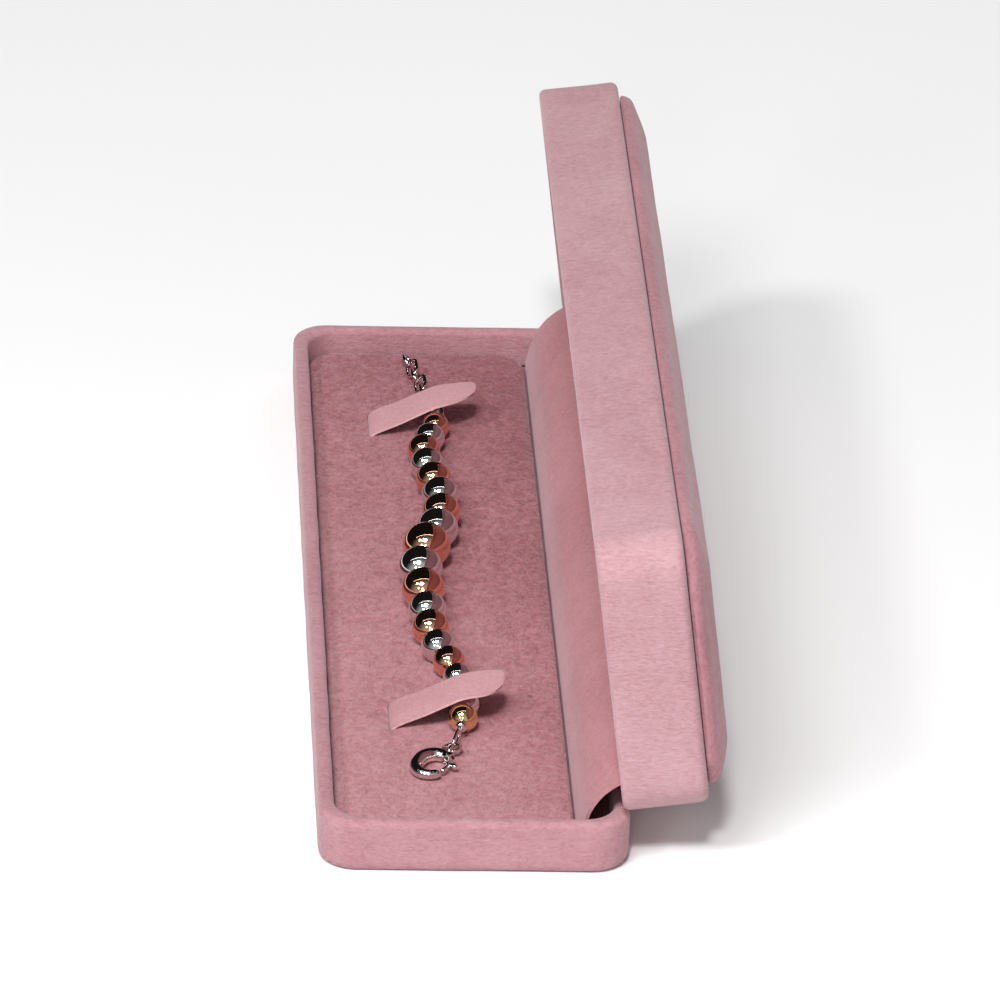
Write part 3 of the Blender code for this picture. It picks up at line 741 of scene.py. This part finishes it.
def hinge_flap():
    path = flap_base + [mirrored(p) for p in reversed(flap_base)]
    spine, length = even(through([(HINGE.x + x, 0.0, HINGE.z + z) for x, z in path], 8), 36)
    bm = bmesh.new()
    count = 136
    rows = []
    for number, spot in enumerate(spine):
        middle = math.sin(math.pi * number / (len(spine) - 1))
        row = []
        for k in range(count + 1):
            y = -FLAP_HALF_L + 2 * FLAP_HALF_L * k / count
            out = waver((number * 0.6, y, 3.0), 16.0, 0.22) * middle
            row.append(bm.verts.new((spot.x - out, y, spot.z + out)))
        rows.append(row)
    weave(bm, rows)
    thicken(bm, FLAP_T - 0.1)
    flap = finish_mesh(bm, "hinge_flap_suede", "flap", sharp=50.0)
    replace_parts(flap, "hinge_flap")
    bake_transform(flap)


hinge_flap()


# ---------------------------------------------------------------- bracelet
def lathe(profile, steps, centre, axis):
    """A turned shape: (radius, height) points about an axis through centre. A closed profile."""
    bm = bmesh.new()
    turn = Vector((0, 0, 1)).rotation_difference(Vector(axis)).to_matrix()
    rings = []
    for k in range(steps):
        a = 2 * math.pi * k / steps
        rings.append(
            [bm.verts.new(turn @ Vector((r * math.cos(a), r * math.sin(a), h)) + centre) for r, h in profile]
        )
    count = len(profile)
    for a, b in zip(rings, rings[1:] + rings[:1]):
        for k in range(count):
            bm.faces.new((a[k], b[k], b[(k + 1) % count], a[(k + 1) % count]))
    return bm


def metal_piece(bm, name):
    return finish_mesh(bm, name, "trim", sharp=60.0)


def middle_of(node):
    """The middle of a CAD node, in millimetres."""
    low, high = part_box(node)
    return (low + high) / 2 / MM


def tube(points, radius, cyclic=False, sides=14, radii=None):
    """A round bar along points, with rounded ends where it is open. radii scale it point by point."""
    points = [Vector(p) for p in points]
    count = len(points)
    sizes = [radius * (radii[k] if radii else 1.0) for k in range(count)]
    bm = bmesh.new()
    side = None
    rings = []
    for k, point in enumerate(points):
        before = points[(k - 1) % count] if cyclic or k else point
        after = points[(k + 1) % count] if cyclic or k < count - 1 else point
        ahead = (after - before).normalized()
        if side is None:
            side = ahead.orthogonal().normalized()
        side = (side - ahead * side.dot(ahead)).normalized()
        other = ahead.cross(side)
        if not cyclic and k == 0:
            for j in (0.25, 0.7):
                back = point - ahead * sizes[k] * math.sqrt(1 - j * j) * 0.8
                rings.append(ring_of(bm, back, side, other, sizes[k] * j, sides))
        rings.append(ring_of(bm, point, side, other, sizes[k], sides))
        if not cyclic and k == count - 1:
            for j in (0.7, 0.25):
                on = point + ahead * sizes[k] * math.sqrt(1 - j * j) * 0.8
                rings.append(ring_of(bm, on, side, other, sizes[k] * j, sides))
    pairs = list(zip(rings, rings[1:]))
    if cyclic:
        first, last = rings[0], rings[-1]

        def twist(s):
            return sum((last[j].co - first[(j + s) % sides].co).length for j in range(sides))

        shift = min(range(sides), key=twist)
        pairs.append((last, first[shift:] + first[:shift]))
    for a, b in pairs:
        for j in range(sides):
            bm.faces.new((a[j], a[(j + 1) % sides], b[(j + 1) % sides], b[j]))
    if not cyclic:
        bm.faces.new(rings[0])
        bm.faces.new(rings[-1])
    return bm


def ring_of(bm, centre, side, other, radius, sides):
    turns = [2 * math.pi * j / sides for j in range(sides)]
    return [bm.verts.new(centre + (side * math.cos(t) + other * math.sin(t)) * radius) for t in turns]


centres = [middle_of(f"bead_{k + 1:02d}") for k in range(len(BEAD_DIAMETERS))]
for k, (centre, diameter) in enumerate(zip(centres, BEAD_DIAMETERS)):
    ahead, behind = centres[min(k + 1, len(centres) - 1)], centres[max(k - 1, 0)]
    radius, bore = diameter / 2, 0.42
    start = math.degrees(math.asin(0.62 / radius))
    outside = arc(0, 0, radius, 90 - start, -90 + start, 30)
    edge = outside[0][1] - 0.08
    metal = "rose_gold" if k % 2 == 0 else "silver"
    ball = finish_mesh(
        lathe(outside + [(bore, -edge), (bore, edge)], 48, centre, behind - ahead),
        f"ball_{k + 1:02d}",
        "gold" if k == len(centres) - 1 else metal,
    )
    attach(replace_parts(ball, f"bead_{k + 1:02d}"), "base")


def link_like(name, node, centre, radius, wire, normal, stretch):
    """A round or stretched ring; its long way lies along Y before it is turned to its normal."""
    loop = []
    for k in range(40):
        a = 2 * math.pi * (k + 0.5) / 40
        longer = math.copysign(stretch / 2, math.cos(a))
        loop.append(Vector((radius * math.sin(a), radius * math.cos(a) + longer, 0.0)))
    bm = tube(loop, wire, cyclic=True, sides=16)
    turn = Vector((0, 0, 1)).rotation_difference(Vector(normal)).to_matrix()
    bmesh.ops.rotate(bm, verts=bm.verts, matrix=turn)
    bmesh.ops.translate(bm, verts=bm.verts, vec=centre)
    made = metal_piece(bm, name)
    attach(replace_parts(made, node), "base")


far_axis = (centres[0] - centres[1]).normalized()
near_axis = (centres[-1] - centres[-2]).normalized()
end_far = centres[0] + far_axis * (BEAD_DIAMETERS[0] / 2 + 1.0)
end_near = centres[-1] + near_axis * (BEAD_DIAMETERS[-1] / 2 + 1.0)
for name, spot, axis in (("end_cap_far", end_far, far_axis), ("end_cap_near", end_near, near_axis)):
    cup = [(0.3, 0.72), (0.55, 0.7), (0.85, 0.58), (1.06, 0.3), (1.14, 0.0), (1.1, -0.35), (0.98, -0.6),
           (0.75, -0.76), (0.45, -0.8), (0.3, -0.78)]
    cap = metal_piece(lathe(cup, 32, spot, axis), f"{name}_cup")
    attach(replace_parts(cap, name), "base")

link_1, link_8 = middle_of("chain_link_1"), middle_of("chain_link_8")
slant = link_8 - link_1
slant.z = 0.0
slant.normalize()
sideways = Vector((slant.y, -slant.x, 0))
for k in range(8):
    roll = math.radians(45 if k % 2 else -45)
    link_like(
        f"chain_loop_{k + 1}", f"chain_link_{k + 1}", middle_of(f"chain_link_{k + 1}"), 1.25, 0.4,
        sideways * math.sin(roll) + Vector((0, 0, 1)) * math.cos(roll), 2.2,
    )
loop_at, jump_at = middle_of("end_loop"), middle_of("jump_ring")
hang = Vector((jump_at.x - loop_at.x, jump_at.y - loop_at.y, 0.0)).normalized()
link_like("end_eyelet", "end_loop", loop_at, 1.1, 0.3, (-hang.y, hang.x, 0.0), 2.0)
link_like("jump_ring_wire", "jump_ring", jump_at, 1.6, 0.38, (-0.1, 0.1, 1.0), 0.0)


# ---------------------------------------------------------------- clasp
CLASP_TURN = 24.0
CLASP_SIZE = 1.12
clasp_at = Vector((jump_at.x - 3.71, jump_at.y - 6.09, PAD_TOP + 1.5))


def on_clasp(points):
    """Points of the clasp's own drawing, put where it lies."""
    turn = Matrix.Rotation(-math.radians(CLASP_TURN), 3, "Z")
    return [clasp_at + turn @ Vector(point) * CLASP_SIZE for point in points]


hook = [
    (1.7, 2.4, 0), (0.6, 3.3, 0), (-1.2, 2.9, 0), (-2.3, 1.4, 0), (-2.5, -0.6, 0), (-2.1, -2.4, 0),
    (-0.9, -3.7, 0), (0.7, -3.9, 0), (1.9, -3.1, 0),
]
smooth_hook = through(hook, 6)
count = len(smooth_hook) - 1
fatness = [
    1.15 + 0.45 * math.sin(math.pi * min(1.0, 1.15 * k / count)) - 0.2 * (k / count) ** 2
    for k in range(count + 1)
]
body = metal_piece(tube(on_clasp(smooth_hook), 0.9, sides=20, radii=fatness), "clasp_hook")
neck_line = on_clasp([(1.18, 4.1, 0), (0.8, 3.6, 0), (0.0, 3.0, 0)])
neck = metal_piece(tube(neck_line, 0.9, sides=20, radii=[0.7, 1.05, 1.3]), "clasp_neck")
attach(neck, "base")
tail = [(1.2, 4.9 + math.cos(t), math.sin(t)) for t in (2 * math.pi * k / 32 for k in range(32))]
tail_ring = metal_piece(tube(on_clasp(tail), 0.4, cyclic=True), "clasp_tail")
pin_at = on_clasp([(1.9, 2.3, 0)])[0]
slot = [(0.0, 0.72), (1.4, 0.72), (1.4, -0.72), (0.0, -0.72)]
slot_cut = finish_mesh(lathe(slot, 32, pin_at, (0, 0, 1)), "cutter", "trim")
subtract(body, slot_cut)
body.data.set_sharp_from_angle(angle=math.radians(50))
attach(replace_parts(body, "clasp_body"), "base")
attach(tail_ring, "base")

lever = through([(1.9, 2.3, 0), (2.35, 0.9, 0), (2.5, -0.6, 0), (2.3, -1.75, 0)], 6)
arm = metal_piece(tube(on_clasp(lever), 0.46, sides=16), "clasp_lever_arm")
nub_line = on_clasp([(2.2, 0.9, 0), (2.9, 0.66, 0), (3.7, 0.4, 0)])
nub = metal_piece(tube(nub_line, 0.56, radii=[0.8, 0.8, 1.1]), "clasp_lever_nub")
boss = [(0.5, 0.3), (0.96, 0.38), (1.06, 0.22), (1.06, -0.22), (0.96, -0.38), (0.5, -0.3)]
eye = finish_mesh(lathe(boss, 32, pin_at, (0, 0, 1)), "clasp_lever_eye", "trim")
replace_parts(arm, "clasp_lever")
for piece in (arm, nub, eye):
    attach(piece, "clasp_lever")

# ---------------------------------------------------------------- CAD nodes that stay
KEEP_LOOK = {
    "base_shell": "shell", "lid_shell": "shell", "base_bottom_panel": "board", "pad_board": "board",
    "lid_lining_board": "board", "pad_foam": "foam", "stringing_wire": "trim", "clasp_pin": "trim",
}
for node, obj in frame["nodes"].items():
    if not obj.hide_render:
        obj.data.materials.clear()
        obj.data.materials.append(LOOK[KEEP_LOOK.get(node, "steel")])


# ---------------------------------------------------------------- floor, light
def floor():
    bm = bmesh.new()
    bmesh.ops.create_grid(bm, x_segments=4, y_segments=4, size=6.0)
    data = bpy.data.meshes.new("floor")
    bm.to_mesh(data)
    bm.free()
    n = Nodes("pale_floor")
    shade = n.noise(3.0, 2.0)
    n.set(
        Base_Color=n.colours(shade, [(0.3, (0.86, 0.86, 0.86)), (0.7, (0.88, 0.88, 0.88))]),
        Roughness=0.9,
        Specular_IOR_Level=0.1,
    )
    data.materials.append(n.material)
    obj = bpy.data.objects.new("floor", data)
    bpy.context.scene.collection.objects.link(obj)


def towards(azimuth, elevation):
    """The way to a lamp. Azimuth 0 is on the camera's side, positive to its right."""
    a, e = math.radians(azimuth), math.radians(elevation)
    return Vector((math.sin(a) * math.cos(e), -math.cos(a) * math.cos(e), math.sin(e)))


def softbox(name, azimuth, elevation, distance, size, power):
    """A rectangular lamp that points at the box."""
    aim = Vector((0.0, 0.0, 0.02))
    place = aim + distance * towards(azimuth, elevation)
    data = bpy.data.lights.new(name, "AREA")
    data.shape = "RECTANGLE"
    data.size, data.size_y = size
    data.energy = power
    lamp = bpy.data.objects.new(name, data)
    lamp.location = place
    lamp.rotation_euler = (aim - place).to_track_quat("-Z", "Y").to_euler()
    bpy.context.scene.collection.objects.link(lamp)


def far_light(name, azimuth, elevation, strength, spread=8.0, glossy=True):
    """A distant soft lamp, which lights the whole floor evenly."""
    data = bpy.data.lights.new(name, "SUN")
    data.energy = strength
    data.angle = math.radians(spread)
    lamp = bpy.data.objects.new(name, data)
    lamp.rotation_euler = towards(azimuth, elevation).to_track_quat("Z", "Y").to_euler()
    lamp.visible_glossy = glossy
    bpy.context.scene.collection.objects.link(lamp)


def world():
    made = bpy.data.worlds.new("studio")
    made.use_nodes = True
    tree = made.node_tree
    background = tree.nodes["Background"]
    spot = tree.nodes.new("ShaderNodeTexCoord")
    parts = tree.nodes.new("ShaderNodeSeparateXYZ")
    tree.links.new(spot.outputs["Generated"], parts.inputs[0])
    side = tree.nodes.new("ShaderNodeMapRange")
    side.interpolation_type = "SMOOTHSTEP"
    side.inputs["From Min"].default_value, side.inputs["From Max"].default_value = -1.0, -0.05
    side.inputs["To Min"].default_value, side.inputs["To Max"].default_value = 0.50, 0.008
    tree.links.new(parts.outputs["Y"], side.inputs["Value"])
    tree.links.new(side.outputs["Result"], background.inputs["Strength"])
    background.inputs["Color"].default_value = (1.0, 0.985, 0.97, 1.0)
    bpy.context.scene.world = made


floor()
world()
far_light("key_sun", -10.0, 54.0, 1.74)
far_light("side_sun", -50.0, 44.0, 0.86)
far_light("back_fill", 150.0, 32.0, 0.5, 30.0, False)
softbox("near_box", -20.0, 50.0, 0.55, (0.14, 0.14), 1.3)
softbox("window_right", -8.0, 25.0, 1.2, (0.14, 0.16), 0.9)
softbox("window_left", -30.0, 25.0, 1.2, (0.14, 0.16), 0.9)
softbox("overhead_strip", 0.0, 80.0, 1.1, (2.6, 0.02), 1.1)
bpy.context.scene.view_settings.view_transform = "Standard"
